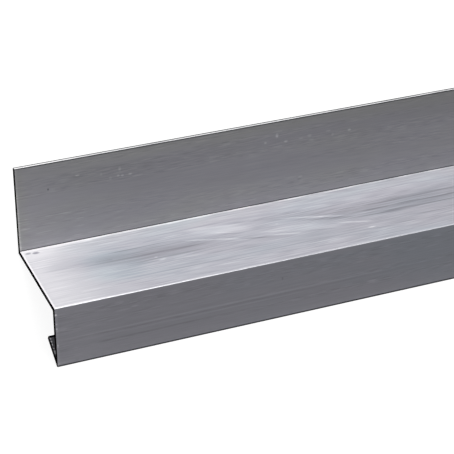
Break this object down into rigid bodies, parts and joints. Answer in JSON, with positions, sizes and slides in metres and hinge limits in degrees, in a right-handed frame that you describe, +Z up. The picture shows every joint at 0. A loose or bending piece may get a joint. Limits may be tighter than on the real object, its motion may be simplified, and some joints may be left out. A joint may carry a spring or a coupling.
{
  "type": "aluminium extrusion profile",
  "caption": "Straight length of stepped aluminium extrusion: an upper flange, a flat shelf, a front flange and a return lip under it, with square-cut ends.",
  "frame": {"origin": "on the floor, under the middle of the bounding box", "axes": "+X along the stock, -Y the way the front flange faces, +Z up; the section lies tipped back on its lower back corner and its bottom front corner"},
  "size_m": [1, 0.0748, 0.0366],
  "materials": {
    "aluminium": "mill finish, with fine die lines along the length and sawn ends"
  },
  "bodies": {
    "root": {"profile": "aluminium"}
  },
  "joints": []
}
